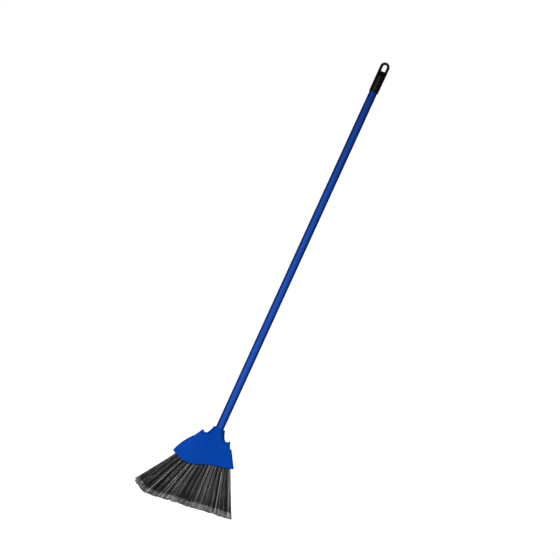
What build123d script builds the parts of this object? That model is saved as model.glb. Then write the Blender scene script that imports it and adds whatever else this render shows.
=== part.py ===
from build123d import *
import os
from math import cos, radians, sin

# Angle broom: a hanging cap, a coated steel handle with a screw tip, and a moulded head
# (shroud snapped over a tuft block) carrying a fan of bristle tufts cut on a slant.
# Millimetres. +Z runs up the handle, +X towards the short, high side of the fan and
# -Y is the front. The origin is where the handle's axis meets the slanted sweeping face.

# ---- handle ----
HANDLE_R = 11.1            # over the plastic coat, a 7/8 inch handle
COAT_T = 0.3               # plastic film round the steel
COAT_GAP = 0.01            # film lies on the steel without sharing its surface
COAT_SHORT = 0.5           # film ends this far below the tube's top
TUBE_WALL = 0.45
TUBE_R = HANDLE_R - COAT_T - COAT_GAP
HANDLE_FOOT_Z = 207.0
HANDLE_TOP_Z = 1252.0
CRIMP_Z = 216.0            # rolled groove that locks the tube on its screw tip
CRIMP_HALF = 2.2
CRIMP_DEPTH = 0.7
CRIMP_CLEAR = 0.1

# ---- screw tip and its socket ----
THREAD_PITCH = 5.08        # the common 3/4 inch, 5 turns to the inch broom screw
THREAD_CORE_R = 6.9
THREAD_CREST_R = 9.4
THREAD_ROOT_W = 3.0
THREAD_CREST_W = 1.7
THREAD_CLEAR = 0.3         # radial clearance between screw and socket
THREAD_FLANK_CLEAR = 0.55  # extra width of the socket's groove
THREAD_BITE = 0.4          # ridge sinks this far into the core it grows from
TIP_SHOULDER_Z = 205.0
TIP_LENGTH = 28.0          # stud below the shoulder
TIP_TURNS = 4.9            # turns of ridge on the stud
SOCKET_TURNS = 6.1         # turns of groove in the socket
SOCKET_LEAD = 0.5          # turns of groove below the ridge's first turn
TIP_START = 1.4            # first turn starts this far above the stud's end
TIP_NOSE = 2.2             # height and depth of the taper at the stud's end
TIP_NOSE_IN = 0.8
PLUG_R = TUBE_R - TUBE_WALL - 0.05
PLUG_TOP_Z = 236.0
PLUG_LEAD = 1.5            # height and depth of the taper at the plug's top
PLUG_LEAD_IN = 0.8
PLUG_BORE_R = 7.2
PLUG_BORE_FLOOR_Z = 211.0
BORE_CONE = 3.0            # height of the cone between the plug's bore and the stud's
STUD_BORE_R = 3.6

# ---- hanging cap ----
CAP_RIM_Z = 1208.5
CAP_TOP_Z = 1295.1
CAP_R = 12.8
CAP_TOP_R = 13.2
CAP_LIP_R = 13.1
CAP_LIP_H = 2.0
CAP_BORE_R = HANDLE_R + 0.1
CAP_BORE_TOP_Z = 1252.6
CAP_LIP_BEVEL = 0.6
CAP_TAB_HALF = 4.6         # half thickness of the flat round the eye
CAP_BLEND_R = 14.0         # side view: half depth and height where the flattening starts,
CAP_BLEND_Z = 1250.0
CAP_HOLLOW_R = 9.6         # passes half way,
CAP_HOLLOW_Z = 1261.0
CAP_TAB_Z = 1268.5         # and becomes the flat tab
EYE_HALF_W = 5.3
EYE_BOTTOM_Z = 1269.3
EYE_TOP_Z = 1288.2
EYE_CORNER_R = 2.0

# ---- fan of tufts ----
FAN_X = 13.0               # the tufts spread from this point inside the neck
FAN_Z = 266.5
FAN_FIRST = -30.8          # degrees from straight down, negative to the long side
FAN_STEP = 3.613
ROW_COUNTS = (16, 15, 16, 15, 16)
ROW_Y = (-14.4, -7.2, 0.0, 7.2, 14.4)
ROW_LEAN = (-5.0, -2.5, 0.0, 2.5, 5.0)
HOLE_R = 3.0
HOLE_DEPTH = 12.0
HOLE_RUN_OUT = 6.0         # drill runs on past the face, which is not square to it
TUFT_ROOT_R = 2.95
TUFT_SINK = 11.8           # tuft reaches this deep into its hole
TUFT_STRAIGHT = 2.6        # stays round this far out of the hole before it spreads
TUFT_SPREAD = 0.03         # growth of the tuft's radius per millimetre
TUFT_LENGTH = 190.0        # before it is trimmed
ANCHOR_W = 6.6
ANCHOR_H = 2.2
ANCHOR_T = 0.35
ANCHOR_DEPTH = 10.2        # middle of the anchor below the block's face
FOLD_CLEAR = 0.05          # between anchor and the bristles folded round it
TRIM_SLOPE = 7.0           # degrees the sweeping face rises towards +X
BRISTLE_REACH = 306.0      # longest bristle, measured from the fan's centre
ROOM_HALF_W = 220.0        # the trimmed bristles lie well within this width and height
ROOM_TOP_Z = 300.0
THROUGH = 40.0             # half length of a shape drawn right through the head

# ---- shroud ----
WALL = 2.0
COLLAR_TOP_Z = 225.2
COLLAR_HOLE_R = 11.5
NECK_FOOT_Z = 150.0
SHROUD_EDGE_R = 4.0
COLLAR_EDGE_R = 1.2
DEPTH_TOP = 17.2           # half depth of the head at the collar
DEPTH_FOOT = 27.0          # half depth carried down to the level DEPTH_FOOT_Z
DEPTH_FOOT_Z = 100.0
DEPTH_TOP_Z = 226.0
DEPTH_BULGE = 3.5          # how far the front and back swell in the middle
DEPTH_HALF_W = 110.0
SHOULDER_HALF = (21.6, 18.6, 9.0)     # half depth where the shoulder starts, bends and ends
SHOULDER_Z = (176.0, 195.0, 208.0)
SHOULDER_BEND_DROP = 0.5   # share of an inset that lowers the bend

# ---- tuft block ----
BLOCK_CLEAR = 0.3          # all round, inside the shroud
BLOCK_RECESS = 9.0         # face sits this far inside the shroud's rim
BLOCK_THICK = 17.0
BOSS_R = 14.4
BOSS_TOP_Z = 222.9
BOSS_FOOT_Z = 146.0
BOSS_CORE_R = 12.2         # cleared of webs for the socket, and refilled by the boss
SEAT_R = 11.4              # counterbore that takes the handle's foot
SOCKET_FLOOR_Z = 152.0
WEB_T = 2.6
WEB_ROOT = 3.0             # webs grow from this far inside the plate
WEB_TOP_Z = 204.0
CROSS_WEBS = ((-36.0, 18.0), (0.0, 52.0), (34.0, 14.0))
WINDOW_H = 8.0
WINDOW_HALF_Y = 7.0
LATCH_REACH = 1.4          # hook stands this far into the window
LATCH_T = 2.2
LATCH_GAP = 0.4            # hook to the window's ends
LATCH_SPAN = (-14.0, 4.0)  # across the side, wide enough to take in the arm's whole thickness
HOOK_ROOT = 1.0            # hook grows from this far inside the arm's face
HOOK_SLOPE_FOOT = 1.0      # square part of the hook below its slope
HOOK_SLOPE_TOP = 0.5

# Side lines of the head, bottom corner first.
RIGHT_FOOT = (79.3, 141.9)
RIGHT_TOP = (53.2, 184.5)
LEFT_FOOT = (-89.2, 122.5)
LEFT_WAIST = (-74.8, 153.2)
LEFT_TOP = (-53.2, 181.0)
LEFT_RUN_OUT = (-0.4, -0.917)         # direction the long side runs on below the rim

# The small horn each side of the neck and the round notch inside it.
RIGHT_STEP = (47.6, 186.8)
RIGHT_NOTCH = ((40.0, 206.2), (31.0, 198.9), (24.0, 204.0))
LEFT_NOTCH = ((-23.4, 204.0), (-31.0, 199.7), (-38.8, 206.0))

# Corner edges along the head's sides lie beyond these distances from the middle.
SIDE_EDGE_X = 38.0
SIDE_EDGE_Y = 8.0
SIDE_EDGE_Z = 145.0

# Neck's outline: radius, height, and how much of an inset also lowers it.
NECK = (
    (16.4, COLLAR_TOP_Z, 0.0),
    (18.6, 216.4, 0.25),
    (22.1, 208.4, 0.4),
    (26.5, 201.2, 0.6),
    (31.0, 196.5, 0.7),
    (38.0, 190.0, 0.7),
)

RUN_ON = 14.0              # inner shapes follow the sides this far past the rim
RUN_ON_Z = 80.0

# Points the shroud's lower rim runs through, from the long side to the short side.
RIM = (LEFT_FOOT, (-62.0, 111.6), (-37.0, 109.6), (-10.0, 117.3), (24.0, 130.3), (50.0, 136.0), RIGHT_FOOT)
RIM_RUN_ON = ((-41.0, 178.5), (33.5, 145.5))  # fan angle and reach its line is carried on to


def at(x, z, y=0.0):
    """A point given across, up and through the broom."""
    return Vector(x, y, z)


def turned(points):
    """Solid of revolution round the handle's axis from (radius, height) points."""
    outline = Polyline([at(r, z) for r, z in points], close=True)
    return revolve(make_face(outline), axis=Axis.Z)


def disc(radius, low, high):
    """Cylinder round the handle's axis between two heights."""
    return Pos(0, 0, low) * Cylinder(radius, high - low, align=(Align.CENTER, Align.CENTER, Align.MIN))


def ray(angle):
    """Unit direction of the fan at an angle from straight down."""
    return Vector(sin(radians(angle)), 0, -cos(radians(angle)))


def fan_point(angle, reach):
    return at(FAN_X, FAN_Z) + ray(angle) * reach


def towards_fan(point, step):
    """Move an (x, z) point towards the fan's centre."""
    arm = at(*point) - at(FAN_X, FAN_Z)
    return at(*point) - arm.normalized() * step


# ---------------------------------------------------------------- handle


def sleeve(outer, inner, foot, top, groove):
    """Thin tube along the handle with a rolled groove near its foot."""
    low = CRIMP_Z - CRIMP_HALF
    high = CRIMP_Z + CRIMP_HALF
    outside = [
        Line(at(outer, foot), at(outer, low)),
        ThreePointArc(at(outer, low), at(outer - groove, CRIMP_Z), at(outer, high)),
        Line(at(outer, high), at(outer, top)),
    ]
    inside = [
        Line(at(inner, top), at(inner, high)),
        ThreePointArc(at(inner, high), at(inner - groove, CRIMP_Z), at(inner, low)),
        Line(at(inner, low), at(inner, foot)),
    ]
    ends = [Line(at(outer, top), at(inner, top)), Line(at(inner, foot), at(outer, foot))]
    return revolve(make_face(outside + inside + ends), axis=Axis.Z)


def handle_tube():
    """Thin welded steel tube."""
    return sleeve(TUBE_R, TUBE_R - TUBE_WALL, HANDLE_FOOT_Z, HANDLE_TOP_Z, CRIMP_DEPTH)


def handle_coat():
    """Coloured plastic film shrunk on the steel tube."""
    return sleeve(HANDLE_R, HANDLE_R - COAT_T, HANDLE_FOOT_Z, HANDLE_TOP_Z - COAT_SHORT, CRIMP_DEPTH)


def screw_ridge(core, crest, root_w, crest_w, turns, low):
    """Trapezoid ridge wound right-handed round the axis."""
    path = Pos(0, 0, low) * Helix(THREAD_PITCH, THREAD_PITCH * turns, core)
    inner = core - THREAD_BITE
    outline = Polyline(
        at(inner, low - root_w / 2),
        at(crest, low - crest_w / 2),
        at(crest, low + crest_w / 2),
        at(inner, low + root_w / 2),
        close=True,
    )
    return sweep(make_face(outline), path=path, is_frenet=True)


STUD_END_Z = TIP_SHOULDER_Z - TIP_LENGTH
RIDGE_LOW_Z = STUD_END_Z + TIP_START + THREAD_ROOT_W / 2


def threaded_tip():
    """Plastic screw tip: plug in the tube, shoulder under it, screw below."""
    body = turned([
        (STUD_BORE_R, STUD_END_Z),
        (THREAD_CORE_R - TIP_NOSE_IN, STUD_END_Z),
        (THREAD_CORE_R, STUD_END_Z + TIP_NOSE),
        (THREAD_CORE_R, TIP_SHOULDER_Z),
        (HANDLE_R, TIP_SHOULDER_Z),
        (HANDLE_R, HANDLE_FOOT_Z),
        (PLUG_R, HANDLE_FOOT_Z),
        (PLUG_R, PLUG_TOP_Z - PLUG_LEAD),
        (PLUG_R - PLUG_LEAD_IN, PLUG_TOP_Z),
        (PLUG_BORE_R, PLUG_TOP_Z),
        (PLUG_BORE_R, PLUG_BORE_FLOOR_Z),
        (STUD_BORE_R, PLUG_BORE_FLOOR_Z - BORE_CONE),
    ])
    groove_half = CRIMP_HALF + CRIMP_CLEAR * 2
    groove = make_face([
        ThreePointArc(
            at(PLUG_R, CRIMP_Z - groove_half),
            at(PLUG_R - CRIMP_DEPTH - CRIMP_CLEAR, CRIMP_Z),
            at(PLUG_R, CRIMP_Z + groove_half),
        ),
        Line(at(PLUG_R, CRIMP_Z + groove_half), at(PLUG_R + 1, CRIMP_Z + groove_half)),
        Line(at(PLUG_R + 1, CRIMP_Z + groove_half), at(PLUG_R + 1, CRIMP_Z - groove_half)),
        Line(at(PLUG_R + 1, CRIMP_Z - groove_half), at(PLUG_R, CRIMP_Z - groove_half)),
    ])
    body -= revolve(groove, axis=Axis.Z)
    ridge = screw_ridge(THREAD_CORE_R, THREAD_CREST_R, THREAD_ROOT_W, THREAD_CREST_W, TIP_TURNS, RIDGE_LOW_Z)
    return body + ridge


def cap_blank():
    """Round cap with a lip at its rim and a half-round top."""
    dome_z = CAP_TOP_Z - CAP_TOP_R
    slant = CAP_TOP_R * cos(radians(45))
    lip_z = CAP_RIM_Z + CAP_LIP_H
    return revolve(make_face([
        Line(at(0, CAP_RIM_Z), at(CAP_LIP_R, CAP_RIM_Z)),
        Line(at(CAP_LIP_R, CAP_RIM_Z), at(CAP_LIP_R, lip_z)),
        Line(at(CAP_LIP_R, lip_z), at(CAP_R, lip_z + CAP_LIP_BEVEL)),
        Line(at(CAP_R, lip_z + CAP_LIP_BEVEL), at(CAP_TOP_R, dome_z)),
        ThreePointArc(at(CAP_TOP_R, dome_z), at(slant, dome_z + slant), at(0, CAP_TOP_Z)),
        Line(at(0, CAP_TOP_Z), at(0, CAP_RIM_Z)),
    ]), axis=Axis.Z)


def cap_side_view():
    """Seen from the side: full depth below, hollowed down to a flat tab above."""
    low = CAP_RIM_Z - 1
    high = CAP_TOP_Z + 1
    edges = [
        Line((0, -CAP_BLEND_R, low), (0, CAP_BLEND_R, low)),
        Line((0, -CAP_TAB_HALF, high), (0, CAP_TAB_HALF, high)),
    ]
    for face in (1, -1):
        edges.append(ThreePointArc(
            (0, face * CAP_BLEND_R, CAP_BLEND_Z),
            (0, face * CAP_HOLLOW_R, CAP_HOLLOW_Z),
            (0, face * CAP_TAB_HALF, CAP_TAB_Z),
        ))
        edges.append(Line((0, face * CAP_BLEND_R, low), (0, face * CAP_BLEND_R, CAP_BLEND_Z)))
        edges.append(Line((0, face * CAP_TAB_HALF, CAP_TAB_Z), (0, face * CAP_TAB_HALF, high)))
    return make_face(edges)


def eye_outline():
    """Long hanging eye: a round arch above, small round corners below."""
    arch_z = EYE_TOP_Z - EYE_HALF_W
    side_z = EYE_BOTTOM_Z + EYE_CORNER_R
    flat = EYE_HALF_W - EYE_CORNER_R
    sag = EYE_CORNER_R * (1 - cos(radians(45)))
    edges = [
        ThreePointArc(at(EYE_HALF_W, arch_z), at(0, EYE_TOP_Z), at(-EYE_HALF_W, arch_z)),
        Line(at(-flat, EYE_BOTTOM_Z), at(flat, EYE_BOTTOM_Z)),
    ]
    for side in (1, -1):
        edges.append(ThreePointArc(
            at(side * flat, EYE_BOTTOM_Z),
            at(side * (EYE_HALF_W - sag), EYE_BOTTOM_Z + sag),
            at(side * EYE_HALF_W, side_z),
        ))
        edges.append(Line(at(side * EYE_HALF_W, side_z), at(side * EYE_HALF_W, arch_z)))
    return make_face(edges)


def hanger_cap():
    """Moulded cap over the handle's top, flattened to a tab with a hanging eye."""
    body = cap_blank() & extrude(cap_side_view(), amount=CAP_TOP_R + 1, both=True)
    body -= extrude(eye_outline(), amount=CAP_TOP_R + 1, both=True)
    return body - disc(CAP_BORE_R, CAP_RIM_Z - 1, CAP_BORE_TOP_Z)


# ---------------------------------------------------------------- head


def head_outline(run_on=0.0):
    """Front view of the shroud below the neck; run_on carries the sides past the rim."""
    if run_on:
        right = at(*RIGHT_FOOT) + (at(*RIGHT_FOOT) - at(*RIGHT_TOP)).normalized() * run_on
        left = at(*LEFT_FOOT) + at(*LEFT_RUN_OUT) * run_on
        below = RUN_ON_Z
        foot = [
            Line(at(*LEFT_FOOT), left),
            Line(left, at(left.X, below)),
            Line(at(left.X, below), at(right.X, below)),
            Line(at(right.X, below), right),
            Line(right, at(*RIGHT_FOOT)),
        ]
    else:
        foot = [Spline([at(*point) for point in RIM])]
    return make_face(foot + [
        Line(at(*RIGHT_FOOT), at(*RIGHT_TOP)),
        Line(at(*RIGHT_TOP), at(*RIGHT_STEP)),
        Line(at(*RIGHT_STEP), at(*RIGHT_NOTCH[0])),
        ThreePointArc([at(*point) for point in RIGHT_NOTCH]),
        Line(at(*RIGHT_NOTCH[-1]), at(*LEFT_NOTCH[0])),
        ThreePointArc([at(*point) for point in LEFT_NOTCH]),
        Line(at(*LEFT_NOTCH[-1]), at(*LEFT_TOP)),
        ThreePointArc(at(*LEFT_TOP), at(*LEFT_WAIST), at(*LEFT_FOOT)),
    ])


def depth_section(height, half_depth, inset):
    """Level section that limits the head front and back, swollen in the middle."""
    middle = half_depth - inset
    edge = middle - DEPTH_BULGE
    front = ThreePointArc((-DEPTH_HALF_W, -edge, height), (0, -middle, height), (DEPTH_HALF_W, -edge, height))
    back = ThreePointArc((DEPTH_HALF_W, edge, height), (0, middle, height), (-DEPTH_HALF_W, edge, height))
    right = Line(front @ 1, back @ 0)
    left = Line(back @ 1, front @ 0)
    return make_face([front, right, back, left])


def depth_limit(inset):
    """Wedge that thins the head from the rim up to the collar."""
    return loft([
        depth_section(DEPTH_FOOT_Z, DEPTH_FOOT, inset),
        depth_section(DEPTH_TOP_Z, DEPTH_TOP, inset),
    ], ruled=True)


def shoulder_limit(inset):
    """Rounds the shoulders over towards the front and back."""
    start, bend, end = (half - inset for half in SHOULDER_HALF)
    start_z, bend_z, end_z = SHOULDER_Z
    bend_z -= SHOULDER_BEND_DROP * inset
    end_z -= inset
    edges = [Line((0, -THROUGH, RUN_ON_Z), (0, THROUGH, RUN_ON_Z)), Line((0, -end, end_z), (0, end, end_z))]
    for face in (1, -1):
        edges.append(Line((0, face * THROUGH, RUN_ON_Z), (0, face * THROUGH, start_z)))
        edges.append(Line((0, face * THROUGH, start_z), (0, face * start, start_z)))
        edges.append(ThreePointArc(
            (0, face * start, start_z),
            (0, face * bend, bend_z),
            (0, face * end, end_z),
        ))
    return extrude(make_face(edges), amount=DEPTH_HALF_W, both=True)


def neck(inset, top):
    """Round collar flaring down into the shoulders."""
    flare = Spline([at(r - inset, z - drop * inset) for r, z, drop in NECK])
    profile = make_face([
        Line(at(0, COLLAR_TOP_Z), flare @ 0),
        flare,
        Line(flare @ 1, at((flare @ 1).X, NECK_FOOT_Z)),
        Line(at((flare @ 1).X, NECK_FOOT_Z), at(0, NECK_FOOT_Z)),
        Line(at(0, NECK_FOOT_Z), at(0, COLLAR_TOP_Z)),
    ])
    return revolve(profile, axis=Axis.Z) & disc(2 * THROUGH, NECK_FOOT_Z, top)


def head_volume(inset, neck_top):
    """The head's inner space, or the room the block may fill, inset from its outside."""
    plate = extrude(offset(head_outline(RUN_ON), amount=-inset), amount=THROUGH, both=True)
    plate = plate & shoulder_limit(inset)
    return (plate + neck(inset, neck_top)) & depth_limit(inset)


def side_frame(foot, top):
    """Start, unit vector up a side of the head and unit vector out of it."""
    up = (at(*top) - at(*foot)).normalized()
    out = Vector(-up.Z, 0, up.X) if foot[0] < 0 else Vector(up.Z, 0, -up.X)
    return at(*foot), up, out


def side_slab(side, low, high, inner, outer, half_y):
    """Block lying along a side: from low to high up it, from inner to outer across it."""
    start, up, out = side
    corners = [
        start + up * low + out * inner,
        start + up * high + out * inner,
        start + up * high + out * outer,
        start + up * low + out * outer,
    ]
    return extrude(make_face(Polyline(corners, close=True)), amount=half_y, both=True)


# Each latch: the side it is on, where its arm starts and where its window starts, up that side.
LATCHES = (
    (side_frame(RIGHT_FOOT, RIGHT_TOP), 22.0, 34.0),
    (side_frame(LEFT_WAIST, LEFT_TOP), -16.0, 20.0),
)


def runs_up_side(edge):
    """True for the corner edges along the head's two sides, front and back."""
    middle = edge @ 0.5
    return abs(middle.X) > SIDE_EDGE_X and abs(middle.Y) > SIDE_EDGE_Y and middle.Z > SIDE_EDGE_Z


def head_shroud():
    """One-piece moulded shell over the tuft block."""
    plate = extrude(head_outline(), amount=THROUGH, both=True) & shoulder_limit(0)
    outside = (plate + neck(0, COLLAR_TOP_Z)) & depth_limit(0)
    outside = fillet([edge for edge in outside.edges() if runs_up_side(edge)], SHROUD_EDGE_R)
    outside = fillet([outside.edges().sort_by(Axis.Z)[-1]], COLLAR_EDGE_R)
    shell = outside - head_volume(WALL, COLLAR_TOP_Z - WALL)
    shell -= disc(COLLAR_HOLE_R, COLLAR_TOP_Z - 3 * WALL, COLLAR_TOP_Z + 1)
    for side, _, window in LATCHES:
        shell -= side_slab(side, window, window + WINDOW_H, -WALL - 1, 1, WINDOW_HALF_Y)
    return shell


def rim_curve(step):
    """The rim's line moved a step towards the fan's centre and run on past both ends."""
    inner = [towards_fan(point, step) for point in RIM]
    first, last = (fan_point(angle, reach - step) for angle, reach in RIM_RUN_ON)
    return Spline([first] + inner + [last])


FACE_LINE = rim_curve(BLOCK_RECESS)


def tuft_frames(row):
    """One plane per tuft of a row: origin in the block's face, normal along the tuft."""
    count = ROW_COUNTS[row]
    first = FAN_FIRST + (ROW_COUNTS[0] - count) * FAN_STEP / 2
    lean = radians(ROW_LEAN[row])
    frames = []
    for index in range(count):
        angle = first + index * FAN_STEP
        across = Line(fan_point(angle, 60), fan_point(angle, 260))
        root = FACE_LINE.intersect(across)[0].center() + Vector(0, ROW_Y[row], 0)
        along = ray(angle) * cos(lean) + Vector(0, sin(lean), 0)
        frames.append(Plane(origin=root, x_dir=ray(angle + 90), z_dir=along))
    return frames


def anchor(frame):
    """Flat steel staple driven across the bottom of a hole."""
    middle = frame.origin - frame.z_dir * ANCHOR_DEPTH
    return Plane(origin=middle, x_dir=frame.x_dir, z_dir=frame.z_dir) * Box(ANCHOR_W, ANCHOR_T, ANCHOR_H)


def hole(frame):
    """Round hole a tuft is set in, square to its own tuft."""
    bottom = Plane(origin=frame.origin - frame.z_dir * HOLE_DEPTH, x_dir=frame.x_dir, z_dir=frame.z_dir)
    return bottom * Cylinder(HOLE_R, HOLE_DEPTH + HOLE_RUN_OUT, align=(Align.CENTER, Align.CENTER, Align.MIN))


def trim_room():
    """Everything above the slanted sweeping face and within the longest bristle's reach."""
    rise = sin(radians(TRIM_SLOPE)) / cos(radians(TRIM_SLOPE))
    above = make_face(Polyline(
        at(-ROOM_HALF_W, -ROOM_HALF_W * rise),
        at(ROOM_HALF_W, ROOM_HALF_W * rise),
        at(ROOM_HALF_W, ROOM_TOP_Z),
        at(-ROOM_HALF_W, ROOM_TOP_Z),
        close=True,
    ))
    reach = Plane.XZ * Pos(FAN_X, FAN_Z) * Circle(BRISTLE_REACH)
    return extrude(above & reach, amount=2 * THROUGH, both=True)


def tufts(row):
    """A row of tufts, each folded round its staple and spreading towards its trimmed end."""
    tip_r = TUFT_ROOT_R + TUFT_SPREAD * (TUFT_LENGTH - TUFT_STRAIGHT)
    outline = Polyline([
        at(0, -TUFT_SINK),
        at(TUFT_ROOT_R, -TUFT_SINK),
        at(TUFT_ROOT_R, TUFT_STRAIGHT),
        at(tip_r, TUFT_LENGTH),
        at(0, TUFT_LENGTH),
    ], close=True)
    blank = revolve(make_face(outline), axis=Axis.Z)
    slot = Pos(0, 0, -ANCHOR_DEPTH) * Box(ANCHOR_W + 1, ANCHOR_T + 2 * FOLD_CLEAR, ANCHOR_H + 2 * FOLD_CLEAR)
    blank -= slot
    room = trim_room()
    return [frame * blank & room for frame in tuft_frames(row)]


def block_plate():
    """The thick part of the block that holds the tufts."""
    low = FACE_LINE
    high = rim_curve(BLOCK_RECESS + BLOCK_THICK)
    band = make_face([low, Line(low @ 1, high @ 1), high, Line(high @ 0, low @ 0)])
    return extrude(band, amount=THROUGH, both=True)


def latch_hook(side, low, high):
    """Wedge on the latch arm: square below, where it holds the window, and sloped above."""
    start, up, out = side
    wall = WALL + BLOCK_CLEAR
    outline = Polyline([
        start + up * low - out * (wall + HOOK_ROOT),
        start + up * high - out * (wall + HOOK_ROOT),
        start + up * (high - HOOK_SLOPE_TOP) - out * wall,
        start + up * (low + HOOK_SLOPE_FOOT) - out * (wall - LATCH_REACH),
        start + up * low - out * (wall - LATCH_REACH),
    ], close=True)
    return extrude(make_face(outline), amount=WINDOW_HALF_Y - LATCH_GAP, both=True)


def stiffening_webs():
    """One web along the head and three across it, standing on the tuft plate."""
    root = rim_curve(BLOCK_RECESS + BLOCK_THICK - WEB_ROOT)
    half = BOSS_R - WEB_ROOT
    crown = Line(at(half, WEB_TOP_Z), at(-half, WEB_TOP_Z))
    long_web = make_face([root, Line(root @ 1, crown @ 0), crown, Line(crown @ 1, root @ 0)])
    webs = extrude(long_web, amount=WEB_T / 2, both=True)
    for x, height in CROSS_WEBS:
        foot = root.intersect(Line(at(x, RUN_ON_Z), at(x, WEB_TOP_Z)))[0].center().Z
        webs += Pos(x, 0, foot + height / 2) * Box(WEB_T, 2 * THROUGH, height)
    return webs


def socket_groove():
    """Room for the screw's ridge: wider and deeper than it, and open at the seat above."""
    groove = screw_ridge(
        THREAD_CORE_R + THREAD_CLEAR,
        THREAD_CREST_R + THREAD_CLEAR,
        THREAD_ROOT_W + THREAD_FLANK_CLEAR,
        THREAD_CREST_W + THREAD_FLANK_CLEAR,
        SOCKET_TURNS,
        RIDGE_LOW_Z - SOCKET_LEAD * THREAD_PITCH,
    )
    return Rot(0, 0, -360 * SOCKET_LEAD) * groove


def screw_socket():
    """Round boss with the screw's bore and groove in it and a seat for the handle's foot."""
    boss = disc(BOSS_R, BOSS_FOOT_Z, BOSS_TOP_Z) - socket_groove()
    boss -= disc(THREAD_CORE_R + THREAD_CLEAR, SOCKET_FLOOR_Z, BOSS_TOP_Z + 1)
    return boss - disc(SEAT_R, TIP_SHOULDER_Z, BOSS_TOP_Z + 1)


def tuft_block():
    """Moulded block: tuft plate, screw socket, stiffening webs and two snap latches."""
    room = head_volume(WALL + BLOCK_CLEAR, BOSS_TOP_Z)
    skin = room - head_volume(WALL + BLOCK_CLEAR + LATCH_T, BOSS_TOP_Z)
    bulk = (block_plate() + stiffening_webs()) & room
    for side, root, window in LATCHES:
        tip = window + WINDOW_H - LATCH_GAP
        bulk += skin & side_slab(side, root, tip, *LATCH_SPAN, WINDOW_HALF_Y - LATCH_GAP)
        bulk += latch_hook(side, window + LATCH_GAP, tip)
    bulk -= disc(BOSS_CORE_R, BOSS_FOOT_Z + 1, BOSS_TOP_Z + 1)
    bulk += screw_socket()
    for row in range(len(ROW_Y)):
        for frame in tuft_frames(row):
            bulk -= hole(frame)
            bulk -= anchor(frame)
    return bulk


def save(name, *solids):
    """Write one node's file; its solids stay separate bodies."""
    shape = solids[0] if len(solids) == 1 else Compound(children=list(solids))
    export_step(shape, f"parts/{name}.step")


os.makedirs("parts", exist_ok=True)
save("hanger_cap", hanger_cap())
save("handle_coat", handle_coat())
save("handle_tube", handle_tube())
save("threaded_tip", threaded_tip())
save("head_shroud", head_shroud())
save("tuft_block", tuft_block())
for row in range(len(ROW_Y)):
    save(f"tufts_row_{row + 1}", *tufts(row))
    save(f"tuft_anchors_row_{row + 1}", *[anchor(frame) for frame in tuft_frames(row)])
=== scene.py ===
import math

import bpy
import numpy as np
from mathutils import Matrix, Vector


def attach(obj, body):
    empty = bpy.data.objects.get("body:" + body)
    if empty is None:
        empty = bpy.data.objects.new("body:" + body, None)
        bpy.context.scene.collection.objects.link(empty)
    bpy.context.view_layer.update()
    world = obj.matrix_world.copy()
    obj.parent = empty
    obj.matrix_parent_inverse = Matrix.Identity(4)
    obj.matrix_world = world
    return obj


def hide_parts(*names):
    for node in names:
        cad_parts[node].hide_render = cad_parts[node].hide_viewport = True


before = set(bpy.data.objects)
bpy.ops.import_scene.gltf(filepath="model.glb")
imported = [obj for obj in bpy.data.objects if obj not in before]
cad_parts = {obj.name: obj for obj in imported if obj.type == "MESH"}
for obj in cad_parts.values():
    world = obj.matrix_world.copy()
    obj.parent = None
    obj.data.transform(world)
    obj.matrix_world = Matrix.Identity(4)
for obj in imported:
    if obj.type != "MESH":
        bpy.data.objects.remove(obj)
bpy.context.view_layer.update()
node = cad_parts

# ---------------------------------------------------------------------------
# Tuft block: the dark moulded core that every other part of the head hangs on.
# Injection moulded in one shot, left plain because the shroud hides all of it
# but the face the bristles come out of.
# ---------------------------------------------------------------------------


def material(name):
    """A new node material: returns it with its tree and its Principled shader."""
    made = bpy.data.materials.new(name)
    made.use_nodes = True
    tree = made.node_tree
    return made, tree, tree.nodes["Principled BSDF"]


def dress(obj, made):
    """Puts one material on every slot of a piece."""
    obj.data.materials.clear()
    obj.data.materials.append(made)


def group_tree(name, inputs, outputs):
    """An empty shader group with float inputs {name: default} and outputs {name: type}."""
    tree = bpy.data.node_groups.new(name, "ShaderNodeTree")
    for label, value in inputs.items():
        socket = tree.interface.new_socket(
            label, in_out="INPUT", socket_type="NodeSocketFloat")
        socket.default_value = value
    for label, kind in outputs.items():
        tree.interface.new_socket(label, in_out="OUTPUT", socket_type=kind)
    return tree, tree.nodes.new("NodeGroupInput"), tree.nodes.new("NodeGroupOutput")


def maths(tree, operation, a, b):
    """A Math node over two sockets or numbers; returns its output."""
    step = tree.nodes.new("ShaderNodeMath")
    step.operation = operation
    for slot, value in zip(step.inputs, (a, b)):
        if isinstance(value, (int, float)):
            slot.default_value = value
        else:
            tree.links.new(value, slot)
    return step.outputs[0]


def ramp(tree, fac, low, high, low_value, high_value):
    """Maps a value between two marks to a value between two others, clamped."""
    step = tree.nodes.new("ShaderNodeMapRange")
    tree.links.new(fac, step.inputs["Value"])
    marks = {"From Min": low, "From Max": high, "To Min": low_value, "To Max": high_value}
    for label, value in marks.items():
        step.inputs[label].default_value = value
    return step.outputs["Result"]


def tint(tree, fac, dark, light):
    """Mixes two colours by a mask; returns the colour."""
    step = tree.nodes.new("ShaderNodeMix")
    step.data_type = "RGBA"
    tree.links.new(fac, step.inputs["Factor"])
    step.inputs["A"].default_value = (*dark, 1)
    step.inputs["B"].default_value = (*light, 1)
    return step.outputs["Result"]


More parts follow.
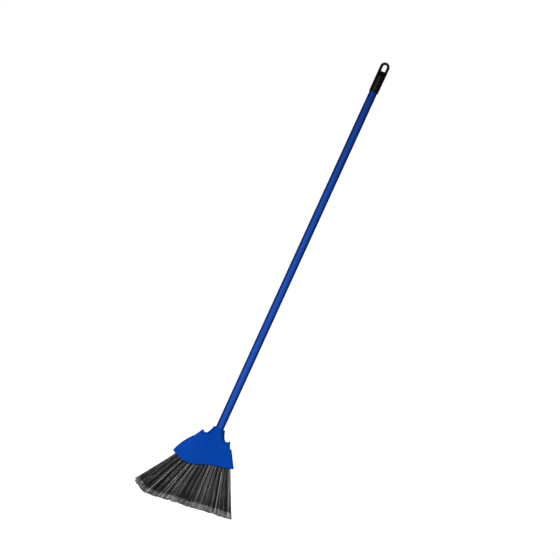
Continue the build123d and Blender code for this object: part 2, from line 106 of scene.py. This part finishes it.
def noise(tree, scale, detail=3.0, stretch=(1, 1, 1), rough=0.5):
    """Noise over the object's own coordinates in metres, squeezed by stretch."""
    place = tree.nodes.new("ShaderNodeTexCoord")
    turn = tree.nodes.new("ShaderNodeMapping")
    turn.inputs["Scale"].default_value = stretch
    tree.links.new(place.outputs["Object"], turn.inputs["Vector"])
    cloud = tree.nodes.new("ShaderNodeTexNoise")
    cloud.inputs["Scale"].default_value = scale
    cloud.inputs["Detail"].default_value = detail
    cloud.inputs["Roughness"].default_value = rough
    tree.links.new(turn.outputs["Vector"], cloud.inputs["Vector"])
    return cloud.outputs["Fac"]


# Moulded skin: the fine spark-eroded grain of a mould, with slow flow marks in the
# colour and a few patches rubbed smoother by hands and floors.
skin, skin_in, skin_out = group_tree(
    "moulded_skin",
    {"Grain": 1.0, "Roughness": 0.4, "Spread": 0.12},
    {"Height": "NodeSocketFloat", "Tone": "NodeSocketFloat", "Roughness": "NodeSocketFloat"},
)
PEEL_SHARE = 0.8   # height of the slow orange peel beside that of the fine grain
grain = noise(skin, scale=1500.0, detail=2.0)
peel = noise(skin, scale=240.0, detail=2.0)
flow = noise(skin, scale=16.0, detail=4.0, stretch=(1.0, 1.0, 0.45))
rubbed = noise(skin, scale=38.0, detail=5.0, rough=0.6)
fine = maths(skin, "MULTIPLY", grain, skin_in.outputs["Grain"])
relief = maths(skin, "ADD", fine, maths(skin, "MULTIPLY", peel, PEEL_SHARE))
centred = maths(skin, "SUBTRACT", rubbed, 0.5)
uneven = maths(skin, "MULTIPLY", centred, skin_in.outputs["Spread"])
skin.links.new(relief, skin_out.inputs["Height"])
skin.links.new(ramp(skin, flow, 0.3, 0.7, 0.0, 1.0), skin_out.inputs["Tone"])
rough = maths(skin, "ADD", skin_in.outputs["Roughness"], uneven)
skin.links.new(rough, skin_out.inputs["Roughness"])


GRAIN_DEPTH = 0.00004
GRAIN_STRENGTH = 0.25
RUBBED_SPREAD = 0.12


def moulded(name, dark, light, roughness, grain_share=1.0, shine=0.3):
    """Moulded plastic: two close colours mixed by the flow marks, over the moulded skin."""
    made, tree, shader = material(name)
    face = tree.nodes.new("ShaderNodeGroup")
    face.node_tree = skin
    face.inputs["Grain"].default_value = grain_share
    face.inputs["Roughness"].default_value = roughness
    face.inputs["Spread"].default_value = RUBBED_SPREAD
    tree.links.new(tint(tree, face.outputs["Tone"], dark, light), shader.inputs["Base Color"])
    tree.links.new(face.outputs["Roughness"], shader.inputs["Roughness"])
    bump = tree.nodes.new("ShaderNodeBump")
    bump.inputs["Strength"].default_value = GRAIN_STRENGTH
    bump.inputs["Distance"].default_value = GRAIN_DEPTH
    tree.links.new(face.outputs["Height"], bump.inputs["Height"])
    tree.links.new(bump.outputs["Normal"], shader.inputs["Normal"])
    shader.inputs["Specular IOR Level"].default_value = shine
    return made


block_black = moulded(
    "block_black", dark=(0.010, 0.010, 0.011), light=(0.016, 0.016, 0.017), roughness=0.5)
dress(node["tuft_block"], block_black)

# ---------------------------------------------------------------------------
# Staples: short flat steel strips, one driven across the bottom of each hole.
# Rolled and cut bright; the cut edges bite into the block.
# ---------------------------------------------------------------------------


# Drawn steel: fine bright and dull lines along the strip or tube.
drawn, drawn_in, drawn_out = group_tree(
    "drawn_steel",
    {"Dullest": 0.45, "Brightest": 0.3},
    {"Tone": "NodeSocketFloat", "Roughness": "NodeSocketFloat"},
)
lines = noise(drawn, scale=600.0, detail=3.5, stretch=(1, 1, 0.04))
dullest = drawn_in.outputs["Dullest"]
span = maths(drawn, "SUBTRACT", drawn_in.outputs["Brightest"], dullest)
share = maths(drawn, "MULTIPLY", ramp(drawn, lines, 0.3, 0.7, 0, 1), span)
drawn.links.new(lines, drawn_out.inputs["Tone"])
drawn.links.new(maths(drawn, "ADD", share, dullest), drawn_out.inputs["Roughness"])


def steel(name, dark, light, dullest, brightest):
    """Bare steel: two close greys mixed by the drawn lines, rougher where they are dull."""
    made, tree, shader = material(name)
    face = tree.nodes.new("ShaderNodeGroup")
    face.node_tree = drawn
    face.inputs["Dullest"].default_value = dullest
    face.inputs["Brightest"].default_value = brightest
    tree.links.new(tint(tree, face.outputs["Tone"], dark, light), shader.inputs["Base Color"])
    tree.links.new(face.outputs["Roughness"], shader.inputs["Roughness"])
    shader.inputs["Metallic"].default_value = 1.0
    return made


ROWS = (1, 2, 3, 4, 5)
staple_steel = steel(
    "staple_steel", dark=(0.38, 0.38, 0.40), light=(0.62, 0.62, 0.64), dullest=0.42, brightest=0.28)
for row in ROWS:
    dress(node[f"tuft_anchors_row_{row}"], staple_steel)

# ---------------------------------------------------------------------------
# Bristles: stiff grey synthetic fibres, folded in half round a staple and spread
# as they leave the block. They are trimmed together on a slant, and their ends
# are flagged: combed until each splits into finer, paler ones, with painted shade
# darkening the very cut.
# ---------------------------------------------------------------------------

FAN_CENTRE = np.array([0.0130, 0.0, 0.2665])  # the tufts' directions meet here
FAN_FIRST = -30.8          # degrees, the long side's outermost tuft
FAN_STEP = 3.613           # degrees from tuft to tuft
FULL_ROW = 16
ROW_TUFTS = {1: FULL_ROW, 2: FULL_ROW - 1, 3: FULL_ROW, 4: FULL_ROW - 1, 5: FULL_ROW}
ROW_LEAN = {1: -5.0, 2: -2.5, 3: 0.0, 4: 2.5, 5: 5.0}  # degrees front to back
TRIM_SLOPE = math.radians(7)
TRIM_NORMAL = np.array([-math.sin(TRIM_SLOPE), 0, math.cos(TRIM_SLOPE)])
LONGEST = 0.3065           # from the fan's centre, down the outermost tuft
OVERHANG = 0.0026          # longest fibres stand this far past the trim line

LOCKS = 14                 # locks of fibres that cling together in one tuft
LOCK_FIBRES = 8
FIBRES = LOCKS * LOCK_FIBRES
FIBRE_R = 0.00024
FOOT_R = 0.0007            # radius of a lock where it leaves the block
LOCK_R = 0.0008            # and at its end
HOLE_FILL = 0.0021         # radius the locks' middles fill in their hole
TUFT_END_R = 0.0072        # and at the trimmed end
HELD = 0.07                # the share of a fibre's length that the hole holds straight
GOLDEN = 2.39996           # golden angle, radians: spaces points evenly over a disc
TURN = 6.28
FLAG_LENGTH = 0.017
FLAGS = 3                  # fine ends each fibre splits into
SHADED_CUT_FROM = 0.88          # painted shade: the last share of a fine end is darker, standing for the shaded cut

LOCK_LEAN = 0.0016         # metres at the end, how far locks, fibres and tufts stray
FIBRE_LEAN = 0.0005
TUFT_LEAN = 0.0009
SWAY = (0.0001, 0.0005)    # height of a fibre's slow wave
WAVES = (1.2, 2.6)         # waves along its length
TUFT_SHORT = 0.0022        # how unevenly the trim leaves tufts, locks and fibres
LOCK_SHORT = 0.0020
FIBRE_SHORT = 0.0005
FLAG_SHORT = 0.10          # share of a fine end's length
FLAG_FLARE = 0.0009
FLAG_RADII = (0.62, 0.5, 0.4, 0.22)  # of a fine end from root to cut, in fibre radii
END_LAG = 0.9              # the split begins where the sideways offset is this far along

ROW_PAINTED_LIGHT_AND_SHADE = {1: 1.35, 2: 0.5, 3: 0.5, 4: 0.5, 5: 1.35}  # painted light and shade: outer rows paler, inner rows darker, standing for the shade between rows
SIDE_PAINTED_SHADE = 0.5           # painted shade: a tuft's sides are darker than its middle
SHADES = 6
FIBRE_DARK = 0.004
FIBRE_LIGHT = 0.58
FLAG_LIGHT = 0.85
FAR = 9.0                  # metres, stands for no reach at all
FOOT_DEPTH = 0.0005        # points this close to a tuft's lowest reach belong to its foot


def tuft_feet(row):
    """Foot and direction of each tuft of a row. A tuft's foot is the lowest reach of its
    CAD solid along its own ray from the fan's centre, so the fibres start where it does."""
    solid = node[f"tufts_row_{row}"].data
    points = np.zeros(len(solid.vertices) * 3)
    solid.vertices.foreach_get("co", points)
    points = points.reshape(-1, 3)
    first = FAN_FIRST + (FULL_ROW - ROW_TUFTS[row]) * FAN_STEP / 2
    angle = np.radians(first + np.arange(ROW_TUFTS[row]) * FAN_STEP)
    rays = np.stack([np.sin(angle), np.zeros_like(angle), -np.cos(angle)], 1)
    arm = points - FAN_CENTRE
    seen = np.arctan2(arm[:, 0], -arm[:, 2])
    mine = np.abs(seen[None, :] - angle[:, None]) < math.radians(FAN_STEP) / 2
    along = rays @ arm.T
    reach = np.where(mine, along, FAR).min(1)
    at_foot = mine & (along < reach[:, None] + FOOT_DEPTH)
    y = (at_foot * points[None, :, 1]).sum(1) / at_foot.sum(1)
    lean = math.radians(ROW_LEAN[row])
    feet = FAN_CENTRE + rays * reach[:, None]
    feet[:, 1] = y
    direction = rays * math.cos(lean)
    direction[:, 1] = math.sin(lean)
    across = np.stack([np.cos(angle), np.zeros_like(angle), np.sin(angle)], 1)
    return feet, direction, across


def strands(centres, radii, side, other):
    """Three-sided tubes. centres is (strands, rings, 3) and radii (strands, rings); each
    ring is the centre plus the radius times the cosine and sine of three equal turns on
    two fixed side vectors. Returns corners, quads and the two end triangles."""
    count, rings = radii.shape
    turn = np.arange(3) * 2 * math.pi / 3
    spoke = (np.cos(turn)[None, :, None] * side[:, None, :]
             + np.sin(turn)[None, :, None] * other[:, None, :])
    corners = centres[:, :, None, :] + radii[:, :, None, None] * spoke[:, None, :, :]
    start = np.arange(count)[:, None, None] * rings * 3
    ring = np.arange(rings - 1)[None, :, None] * 3
    k = np.arange(3)[None, None, :]
    a = start + ring + k
    b = start + ring + (k + 1) % 3
    quads = np.stack([a, b, b + 3, a + 3], -1).reshape(-1, 4)
    first = start[:, 0, 0]
    last = first + (rings - 1) * 3
    caps = np.concatenate([
        np.stack([first + 2, first + 1, first], 1),
        np.stack([last, last + 1, last + 2], 1),
    ])
    return corners.reshape(-1, 3), quads, caps


def new_piece(name, corners, faces):
    """A mesh object from an array of corners and arrays of faces of three or four corners."""
    mesh = bpy.data.meshes.new(name)
    sizes = np.concatenate([np.full(len(f), f.shape[1]) for f in faces])
    loops = np.concatenate([f.ravel() for f in faces])
    mesh.vertices.add(len(corners))
    mesh.vertices.foreach_set("co", corners.astype(np.float32).ravel())
    mesh.loops.add(len(loops))
    mesh.loops.foreach_set("vertex_index", loops.astype(np.int32))
    mesh.polygons.add(len(sizes))
    mesh.polygons.foreach_set("loop_start", (np.cumsum(sizes) - sizes).astype(np.int32))
    mesh.polygons.foreach_set("use_smooth", np.ones(len(sizes), bool))
    mesh.update(calc_edges=True)
    mesh.validate()
    made = bpy.data.objects.new(name, mesh)
    bpy.context.scene.collection.objects.link(made)
    return made


def fibre_row(row):
    """One row of tufts. A fibre's middle runs straight along its tuft, plus a sideways
    offset: its place in the hole, a fan-out growing with the length, a lean of its own
    growing faster, and a slow wave. It ends on the trim plane, or on the plane square to
    the outermost tuft if that comes first, and splits there."""
    rng = np.random.default_rng(40 + row)
    feet, direction, across = tuft_feet(row)
    tufts = len(feet)
    lock = np.arange(FIBRES) // LOCK_FIBRES
    within = np.arange(FIBRES) % LOCK_FIBRES
    share = np.sqrt((lock + 0.5) / LOCKS)[None, :]
    spin = lock[None, :] * GOLDEN + rng.uniform(0, TURN, (tufts, 1))
    disc = np.stack([np.cos(spin) * share, np.sin(spin) * share], -1)
    small = np.sqrt((within + 0.5) / LOCK_FIBRES)[None, :]
    twirl = within[None, :] * GOLDEN + rng.uniform(0, TURN, (tufts, LOCKS))[:, lock]
    near = np.stack([np.cos(twirl) * small, np.sin(twirl) * small], -1)
    lean = rng.normal(0, LOCK_LEAN, (tufts, LOCKS, 2))[:, lock]
    lean = lean + rng.normal(0, FIBRE_LEAN, (tufts, FIBRES, 2))
    tuft_lean = rng.normal(0, TUFT_LEAN, (tufts, 1, 2))
    phase = rng.uniform(0, TURN, (tufts, FIBRES, 2))
    waves = rng.uniform(*WAVES, (tufts, FIBRES, 1))
    sway = rng.uniform(*SWAY, (tufts, FIBRES, 1))
    end_r = TUFT_END_R * rng.uniform(0.9, 1.08, (tufts, 1, 1))
    side = np.repeat(across, FIBRES, 0)
    along = np.repeat(direction, FIBRES, 0)
    other = np.cross(along, side)
    foot = np.repeat(feet, FIBRES, 0)

    def offset(t):
        """Sideways place of every fibre at a share t of its length."""
        out = max(0.0, t - HELD) / 0.93
        spread = HOLE_FILL + (end_r - HOLE_FILL) * out ** 1.1
        bunch = near * (FOOT_R + (LOCK_R - FOOT_R) * out)
        place = disc * spread + bunch + (lean + tuft_lean) * out ** 1.5
        place = place + sway * np.sin(phase + waves * TURN * t) * min(1.0, out * 3)
        place = place.reshape(-1, 2)
        return place[:, :1] * side + place[:, 1:] * other

    tip = foot + offset(1.0)
    length = -(tip @ TRIM_NORMAL) / (along @ TRIM_NORMAL)
    first = math.radians(FAN_FIRST)
    outermost = np.array([math.sin(first), 0, -math.cos(first)])
    square_cut = (LONGEST - (tip - FAN_CENTRE) @ outermost) / (along @ outermost)
    length = np.minimum(length, square_cut) + OVERHANG
    tuft_short = np.abs(rng.normal(0, TUFT_SHORT, (tufts, 1)))
    uneven = tuft_short + np.abs(rng.normal(0, LOCK_SHORT, (tufts, LOCKS))[:, lock])
    length = length - uneven.ravel() - np.abs(rng.normal(0, FIBRE_SHORT, len(length)))
    split = 1 - FLAG_LENGTH / length
    steps = np.array([0.0, 0.075, 0.25, 0.5, 0.75, 1.0])
    centres = np.stack([
        foot + along * (length * split * s)[:, None] + offset(float(s) * END_LAG) for s in steps
    ], 1)
    body = strands(centres, np.full((len(foot), len(steps)), FIBRE_R), side, other)
    root = centres[:, -1]
    flare = rng.normal(0, FLAG_FLARE, (len(foot), FLAGS, 2))
    short = 1 - np.abs(rng.normal(0, FLAG_SHORT, (len(foot), FLAGS)))
    away = flare[:, :, :1] * side[:, None] + flare[:, :, 1:] * other[:, None]
    drift = (offset(1.0) - offset(END_LAG))[:, None]
    down = along[:, None] * (FLAG_LENGTH * short)[:, :, None]
    ends = root[:, None] + down + (drift + away) * short[:, :, None]
    start = np.repeat(root[:, None], FLAGS, 1) + away * 0.06
    middle = start * 0.55 + ends * 0.45 + away * 0.12
    shaded_cut_at = start * (1 - SHADED_CUT_FROM) + ends * SHADED_CUT_FROM
    flags_at = np.stack([start, middle, shaded_cut_at, ends], 2).reshape(-1, 4, 3)
    thin = np.tile(FIBRE_R * np.array(FLAG_RADII), (len(flags_at), 1))
    flags = strands(flags_at, thin, np.repeat(side, FLAGS, 0), np.repeat(other, FLAGS, 0))
    shift = len(body[0])
    piece = new_piece(
        f"bristles_row_{row}",
        np.concatenate([body[0], flags[0]]),
        [body[1], flags[1] + shift, body[2], flags[2] + shift],
    )
    tone = rng.beta(0.35, 1.1, (tufts, LOCKS))[:, lock] * 0.9
    tone = tone + rng.uniform(0, 0.1, (tufts, FIBRES))
    # Painted light and shade over each fibre's random tone: darker inner rows and darker tuft
    # sides.
    tone = (tone * ROW_PAINTED_LIGHT_AND_SHADE[row] * (1 - SIDE_PAINTED_SHADE * np.abs(disc[:, :, 0]))).ravel()
    shade = np.minimum((tone * SHADES).astype(int), SHADES - 1)
    tip = np.repeat(shade, FLAGS) + SHADES
    # The last stretch of every fine end gets the near-black material: painted shade at the cut.
    shaded_cut_slot = np.full_like(tip, 2 * SHADES)
    slots = np.concatenate([
        np.repeat(shade, 3 * (len(steps) - 1)),
        np.stack([tip, tip, shaded_cut_slot], 1).repeat(3, 1).ravel(),
        np.tile(shade, 2),
        np.concatenate([tip, shaded_cut_slot]),
    ])
    for made in fibre_shades:
        piece.data.materials.append(made)
    piece.data.polygons.foreach_set("material_index", slots.astype(np.int32))
    return piece


def fibre_shade(name, grey, roughness):
    """Synthetic fibre, one shade right through as it is extruded, slightly warm."""
    made, tree, shader = material(name)
    shader.inputs["Base Color"].default_value = (grey, grey * 0.985, grey * 0.965, 1)
    shader.inputs["Roughness"].default_value = roughness
    shader.inputs["Specular IOR Level"].default_value = 0.3
    return made


# Fibres of several shades are mixed in every tuft. Each shade is a material of its own,
# and so is its paler split end: tone t gives the grey dark + t (light - dark), and its
# end is that grey moved by the root of t towards FLAG_LIGHT.
tones = (np.arange(SHADES) + 0.5) / SHADES
greys = FIBRE_DARK + tones * (FIBRE_LIGHT - FIBRE_DARK)
ends_grey = greys + np.sqrt(tones) * (FLAG_LIGHT - greys)
fibre_shades = [
    fibre_shade(f"fibre_{i + 1}", float(g), roughness=0.46 - 0.02 * i)
    for i, g in enumerate(greys)
]
fibre_shades += [
    fibre_shade(f"fibre_end_{i + 1}", float(g), roughness=0.6)
    for i, g in enumerate(ends_grey)
]
# Painted shade: a near-black for the last stretch of each fine end, standing for shade along the
# cut.
fibre_shades.append(fibre_shade("fibre_painted_shade_cut", grey=0.012, roughness=0.7))

for row in ROWS:
    fibres = fibre_row(row)
    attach(fibres, "head")
    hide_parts(f"tufts_row_{row}")

# ---------------------------------------------------------------------------
# Shroud: the blue shell snapped over the block. Moulded in one piece, satin
# outside, with the hooks of the block showing in a window at each side.
# ---------------------------------------------------------------------------

shroud_blue = moulded(
    "shroud_blue", dark=(0.0, 0.047, 0.330), light=(0.0, 0.056, 0.385),
    roughness=0.45, grain_share=0.6, shine=0.02)
dress(node["head_shroud"], shroud_blue)

# ---------------------------------------------------------------------------
# Screw tip: a dark nylon plug crimped in the foot of the tube, with the coarse
# broom thread below its shoulder.
# ---------------------------------------------------------------------------

tip_nylon = moulded(
    "tip_nylon", dark=(0.018, 0.018, 0.020), light=(0.028, 0.028, 0.030),
    roughness=0.36, grain_share=0.4)
dress(node["threaded_tip"], tip_nylon)

# ---------------------------------------------------------------------------
# Handle tube: thin steel strip rolled and seam welded, bare under its coat.
# ---------------------------------------------------------------------------

tube_steel = steel(
    "tube_steel", dark=(0.30, 0.31, 0.33), light=(0.52, 0.53, 0.56), dullest=0.48, brightest=0.3)
dress(node["handle_tube"], tube_steel)

# ---------------------------------------------------------------------------
# Handle coat: the coloured plastic film drawn tight over the steel. It shows the
# crimp as a shallow ring and ends square, just short of the tube, inside the cap.
# ---------------------------------------------------------------------------

COAT_R = 0.0111
COAT_T = 0.0003
COAT_FOOT = 0.2070
COAT_TOP = 1.2515
CRIMP_AT = 0.2160
CRIMP_HALF = 0.0022
CRIMP_DEEP = 0.0007
COAT_BEVEL = 0.00008
CRIMP_RINGS = 24           # rings up to just above the crimp
COAT_RINGS = 40            # rings from there to the top
COAT_TURNS = 72


def coat_surface():
    """A tube round the handle's axis: outer radius up one side, inner radius down the
    other, both dipping by a half wave at the crimp; every ring turned into a circle."""
    turns = COAT_TURNS
    low = np.linspace(COAT_FOOT, CRIMP_AT + 2 * CRIMP_HALF, CRIMP_RINGS)
    high = np.linspace(CRIMP_AT + 2 * CRIMP_HALF, COAT_TOP, COAT_RINGS)[1:]
    z = np.concatenate([low, high])
    near = np.clip(1 - np.abs(z - CRIMP_AT) / CRIMP_HALF, 0, 1)
    dip = CRIMP_DEEP * np.sin(near * math.pi / 2) ** 2
    bevel = COAT_BEVEL
    outer = COAT_R - dip
    inner = (outer - COAT_T)[::-1]
    radius = np.concatenate([[outer[0] - bevel], outer, [outer[-1] - bevel], inner])
    height = np.concatenate([[z[0]], z, [z[-1]], z[::-1]])
    height[1] += bevel
    height[len(z)] -= bevel
    turn = np.arange(turns) * 2 * math.pi / turns
    corners = np.stack([
        radius[:, None] * np.cos(turn),
        radius[:, None] * np.sin(turn),
        np.repeat(height[:, None], turns, 1),
    ], -1)
    i = np.arange(len(radius))[:, None]
    j = np.arange(turns)[None, :]
    next_i = (i + 1) % len(radius)
    next_j = (j + 1) % turns
    quads = np.stack([
        i * turns + j, i * turns + next_j, next_i * turns + next_j, next_i * turns + j,
    ], -1)
    return corners.reshape(-1, 3), quads.reshape(-1, 4)


coat_corners, coat_quads = coat_surface()
coat = new_piece("handle_coat_film", coat_corners, [coat_quads])

coat_blue, tree, shader = material("coat_blue")
STREAK_SHARE = 0.55
streaks = noise(tree, scale=260.0, detail=4.0, stretch=(1, 1, 0.015))
cloudy = noise(tree, scale=9.0, detail=3.0, stretch=(1, 1, 0.6))
both = maths(tree, "ADD", maths(tree, "MULTIPLY", streaks, STREAK_SHARE),
             maths(tree, "MULTIPLY", cloudy, 1 - STREAK_SHARE))
# Painted shade: the film's colour is mixed towards deep navy where it is seen edge on, standing for
# the dark sides of the round handle.
edge_on = tree.nodes.new("ShaderNodeLayerWeight")
edge_on.inputs["Blend"].default_value = 0.5
edge_painted_shade = tree.nodes.new("ShaderNodeMix")
edge_painted_shade.data_type = "RGBA"
tree.links.new(ramp(tree, edge_on.outputs["Facing"], 0.08, 0.48, 0, 1), edge_painted_shade.inputs["Factor"])
film = tint(tree, ramp(tree, both, 0.35, 0.65, 0, 1), (0.006, 0.056, 0.35), (0.012, 0.078, 0.46))
tree.links.new(film, edge_painted_shade.inputs["A"])
# The deep navy of the painted shade at the handle's sides.
edge_painted_shade.inputs["B"].default_value = (0.0, 0.010, 0.09, 1)
tree.links.new(edge_painted_shade.outputs["Result"], shader.inputs["Base Color"])
tree.links.new(ramp(tree, both, 0.3, 0.7, 0.38, 0.50), shader.inputs["Roughness"])
shader.inputs["Specular IOR Level"].default_value = 0.05
ribbing = tree.nodes.new("ShaderNodeBump")
ribbing.inputs["Strength"].default_value = 0.2
ribbing.inputs["Distance"].default_value = 0.00003
tree.links.new(streaks, ribbing.inputs["Height"])
tree.links.new(ribbing.outputs["Normal"], shader.inputs["Normal"])
dress(coat, coat_blue)
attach(coat, "handle")
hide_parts("handle_coat")

# ---------------------------------------------------------------------------
# Hanging cap: black plastic, moulded with a long eye and pushed on the handle's
# top, where it can still be turned.
# ---------------------------------------------------------------------------

cap_black = moulded(
    "cap_black", dark=(0.003, 0.003, 0.003), light=(0.006, 0.006, 0.006),
    roughness=0.45, shine=0.15)
dress(node["hanger_cap"], cap_black)

# ---------------------------------------------------------------------------
# Floor, light and camera.
# ---------------------------------------------------------------------------

FLOOR_Z = -0.055           # below the bristles where the head is lowest
FLOOR_HALF = 6.0
floor_corners = [[-1, -1, 0], [1, -1, 0], [1, 1, 0], [-1, 1, 0]]
floor = new_piece(
    "floor",
    np.array(floor_corners, float) * FLOOR_HALF + [0, 0, FLOOR_Z],
    [np.array([[0, 1, 2, 3]])],
)
pale, tree, shader = material("floor_pale")
shader.inputs["Base Color"].default_value = (0.92, 0.92, 0.92, 1)
shader.inputs["Roughness"].default_value = 0.9
shader.inputs["Emission Color"].default_value = (1, 1, 1, 1)
looked_at = tree.nodes.new("ShaderNodeLightPath")
tree.links.new(looked_at.outputs["Is Camera Ray"], shader.inputs["Emission Strength"])
dress(floor, pale)

world = bpy.data.worlds.new("studio")
bpy.context.scene.world = world
world.use_nodes = True
tree = world.node_tree
backdrop = tree.nodes["Background"]
backdrop.inputs["Color"].default_value = (1, 1, 1, 1)
backdrop.inputs["Strength"].default_value = 1.0
room = tree.nodes.new("ShaderNodeBackground")
room.inputs["Color"].default_value = (1, 1, 1, 1)
room.inputs["Strength"].default_value = 0.05
which = tree.nodes.new("ShaderNodeLightPath")
join = tree.nodes.new("ShaderNodeMixShader")
tree.links.new(which.outputs["Is Camera Ray"], join.inputs["Fac"])
tree.links.new(room.outputs["Background"], join.inputs[1])
tree.links.new(backdrop.outputs["Background"], join.inputs[2])
tree.links.new(join.outputs["Shader"], tree.nodes["World Output"].inputs["Surface"])


def softbox(name, place, aim, width, height, power, spread=180):
    """A rectangular soft light at a place, facing a point, its beam spread in degrees."""
    light = bpy.data.lights.new(name, "AREA")
    light.shape = "RECTANGLE"
    light.size = width
    light.size_y = height
    light.energy = power
    light.spread = math.radians(spread)
    made = bpy.data.objects.new(name, light)
    bpy.context.scene.collection.objects.link(made)
    way = Vector(aim) - Vector(place)
    made.location = place
    made.rotation_euler = way.to_track_quat("-Z", "Y").to_euler()
    return made


softbox("key", (-1.35, -3.4, 0.95), (0, 0, 0.30), 0.7, 0.7, 8.2, 45)
softbox("fill", (2.7, -2.5, 0.6), (0, 0, 0.30), 1.2, 1.2, 1.6, 60)
softbox("rear", (0.5, 3.0, 1.9), (0, 0, 0.5), 1.2, 1.2, 35)

LEAN = math.radians(24.589)
VIEW_WIDTH = 1.4907        # metres across the picture at the handle
LENS = 200.0
SENSOR = 36.0
camera_data = bpy.data.cameras.new("camera")
camera_data.lens = LENS
camera_data.sensor_width = SENSOR
camera_data.clip_end = 100
camera = bpy.data.objects.new("camera", camera_data)
bpy.context.scene.collection.objects.link(camera)
camera.location = (-0.0182, -VIEW_WIDTH * LENS / SENSOR, 0.6510)
# The camera looks along +Y and is rolled, so the handle leans in the view.
roll = Matrix((
    (math.cos(LEAN), -math.sin(LEAN), 0),
    (0, 0, -1),
    (math.sin(LEAN), math.cos(LEAN), 0),
))
camera.rotation_euler = roll.to_euler()
bpy.context.scene.camera = camera
bpy.context.scene.view_settings.view_transform = "Standard"
